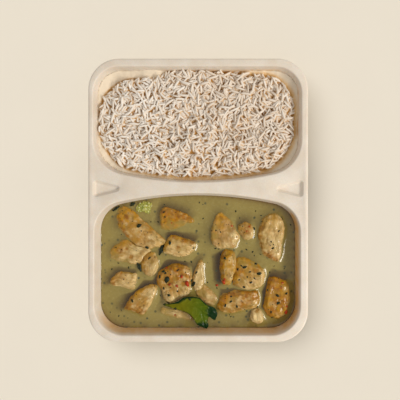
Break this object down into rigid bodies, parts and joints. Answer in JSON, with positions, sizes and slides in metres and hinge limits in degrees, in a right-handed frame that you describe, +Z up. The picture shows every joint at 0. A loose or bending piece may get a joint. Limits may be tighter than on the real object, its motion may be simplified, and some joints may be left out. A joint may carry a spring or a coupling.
{
  "type": "thai green curry",
  "caption": "Thai green curry with chicken pieces and a green leaf beside white rice, in a moulded-fibre meal tray with two wells.",
  "frame": {"origin": "on the table, under the middle of the tray's outline", "axes": "+Z up out of the tray; +Y along the tray's length, from the curry well to the rice well; +X across it, to the right"},
  "size_m": [0.178, 0.2294, 0.034],
  "materials": {
    "moulded_fibre": "matt moulded plant fibre with a thin food-safe film",
    "cooked_rice": "moist cooked grains, semi-matt",
    "curry_sauce": "glossy opaque coconut sauce with herb flecks",
    "poached_chicken": "moist cooked meat with fine fibres",
    "browned_chicken": "moist browned meat with herb and chilli flakes",
    "green_vegetable": "wet soft vegetable",
    "green_leaf": "wet leaf with a pale midrib",
    "wilted_leaf": "wet dark leaf"
  },
  "bodies": {
    "root": {"tray": "moulded_fibre", "rice": "cooked_rice", "sauce": "curry_sauce", "chicken_left_low": "poached_chicken", "chicken_left_round": "poached_chicken", "chicken_slab": "poached_chicken", "chicken_orange": "browned_chicken", "chicken_block": "poached_chicken", "chicken_wedge": "poached_chicken", "chicken_nugget": "poached_chicken", "chicken_far_right": "poached_chicken", "chicken_sunken": "poached_chicken", "chicken_long": "poached_chicken", "chicken_strip": "poached_chicken", "chicken_browned": "browned_chicken", "chicken_under_leaf": "poached_chicken", "chicken_low_left": "poached_chicken", "chicken_small_left": "poached_chicken", "chicken_tall_lobe": "poached_chicken", "chicken_round_lobe": "poached_chicken", "chicken_low_right": "browned_chicken", "chicken_crumb": "poached_chicken", "green_vegetable": "green_vegetable", "leaf": "green_leaf", "leaf_scrap_rim": "wilted_leaf", "leaf_scrap_corner": "wilted_leaf", "leaf_scrap_strip": "wilted_leaf", "leaf_scrap_left": "wilted_leaf"}
  },
  "joints": []
}
